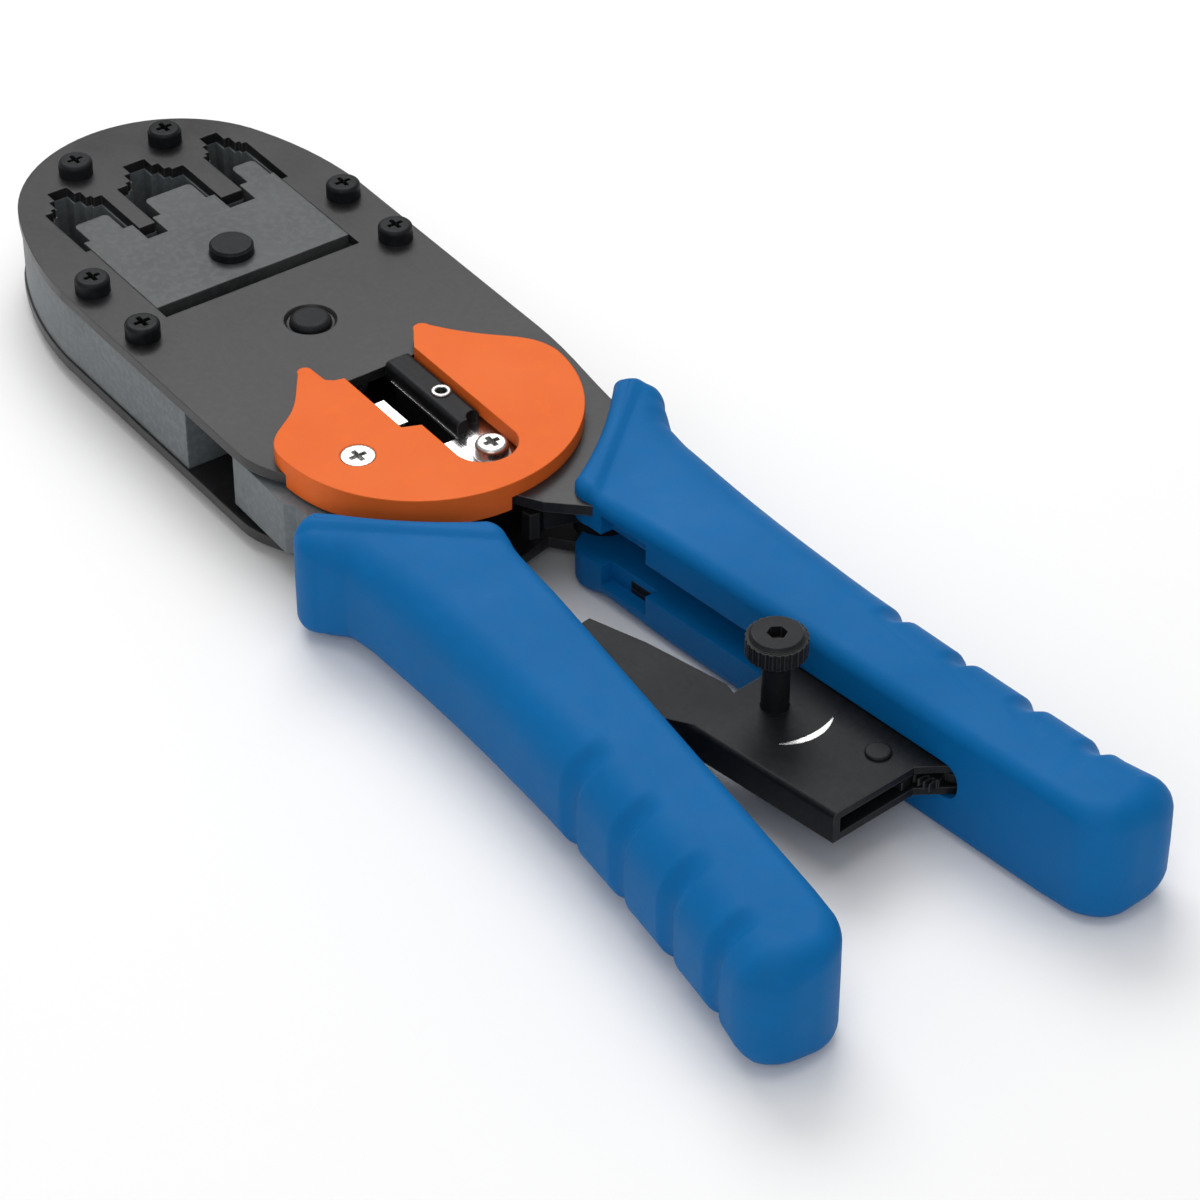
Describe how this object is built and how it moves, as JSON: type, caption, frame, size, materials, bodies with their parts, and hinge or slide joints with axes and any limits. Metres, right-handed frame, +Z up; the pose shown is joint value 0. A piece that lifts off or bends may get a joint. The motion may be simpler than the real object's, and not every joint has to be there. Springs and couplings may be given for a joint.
{
  "type": "modular plug crimping tool",
  "caption": "Hand crimping tool with a closed head, plug sockets, a sliding die, a guarded cable cutter, a ratchet link with a release knob, and soft-gripped handles.",
  "frame": {"origin": "under the middle of the tool, on the surface that it lies on", "axes": "+X from the rounded head to the handle tails, +Z up through the thickness, +Y towards the fixed handle"},
  "size_m": [0.2275, 0.0694, 0.0252],
  "materials": {
    "black_plate": "satin black oxide on sheet steel",
    "slate_block": "matte slate grey",
    "die_steel": "grey phosphated, worn brighter on the corners",
    "bright_steel": "bright zinc-plated or ground",
    "dark_steel": "black oxide, worn bright on the edges",
    "blade_steel": "ground and polished",
    "orange_guard": "moulded, fine matte",
    "blue_grip": "soft matte moulding"
  },
  "bodies": {
    "frame": {"top_plate": "black_plate", "bottom_plate": "black_plate", "anvil_block": "slate_block", "head_screws": "dark_steel", "pivot_pin": "dark_steel", "pivot_washers": "bright_steel", "frame_channel": "dark_steel", "handle_rivets": "dark_steel", "link_pin": "dark_steel", "ratchet_sector": "dark_steel", "fixed_grip": "blue_grip", "guard": "orange_guard", "guard_screw": "bright_steel", "cutter_blade": "blade_steel", "blade_clamp": "dark_steel", "blade_seat": "dark_steel", "blade_screw": "bright_steel", "blade_washer": "bright_steel", "clamp_rivet": "bright_steel", "closing_stop": "dark_steel"},
    "moving_handle": {"lever_channel": "slate_block", "moving_grip": "blue_grip", "crank_pin": "bright_steel", "return_spring": "bright_steel", "strip_carrier": "dark_steel", "strip_blade": "blade_steel", "strip_rivets": "bright_steel"},
    "die": {"die_block": "die_steel", "die_pin": "dark_steel", "contact_comb_eight": "blade_steel", "contact_comb_four": "blade_steel", "contact_comb_six": "blade_steel"},
    "toggle": {"toggle_link": "dark_steel"},
    "ratchet_link": {"ratchet_link": "dark_steel", "guide_pin": "bright_steel", "pawl_rivet": "dark_steel", "pawl_spring": "bright_steel"},
    "pawl": {"pawl": "dark_steel"},
    "release_knob": {"release_knob": "dark_steel", "knob_clip": "bright_steel"}
  },
  "joints": [
    {"name": "handle_hinge", "type": "hinge", "parent": "frame", "child": "moving_handle", "pos_m": [-0.04825, 0, 0.00975], "axis": [0, 0, 1], "range_deg": [0, 9], "stiffness_Nm_per_rad": 2.5, "springref_deg": -14.32, "deforming": ["return_spring"]},
    {"name": "die_slide", "type": "slide", "parent": "frame", "child": "die", "axis": [-1, 0, 0], "range_m": [0, 0.0026]},
    {"name": "toggle_swing", "type": "hinge", "parent": "die", "child": "toggle", "pos_m": [-0.07105, 0, 0.00975], "axis": [0, 0, 1], "range_deg": [-6.3, 0]},
    {"name": "link_swing", "type": "hinge", "parent": "frame", "child": "ratchet_link", "pos_m": [0.08275, 0.0205, 0.00975], "axis": [0, 0, 1], "range_deg": [-9.1, 0]},
    {"name": "knob_turn", "type": "hinge", "parent": "ratchet_link", "child": "release_knob", "pos_m": [0.06175, 0.005, 0.012], "axis": [0, 0, 1], "range_deg": [0, 50], "stiffness_Nm_per_rad": 0.02, "springref_deg": -17.19},
    {"name": "pawl_swing", "type": "hinge", "parent": "ratchet_link", "child": "pawl", "pos_m": [0.07795, 0.0102, 0.00975], "axis": [0, 0, 1], "range_deg": [-3.1, 0]}
  ],
  "couplings": [
    {"joint": "die_slide", "follows": "handle_hinge", "m_per_rad": 0.01555},
    {"joint": "toggle_swing", "follows": "handle_hinge", "ratio": -0.681},
    {"joint": "link_swing", "follows": "handle_hinge", "ratio": -1},
    {"joint": "pawl_swing", "follows": "knob_turn", "ratio": -0.058}
  ]
}
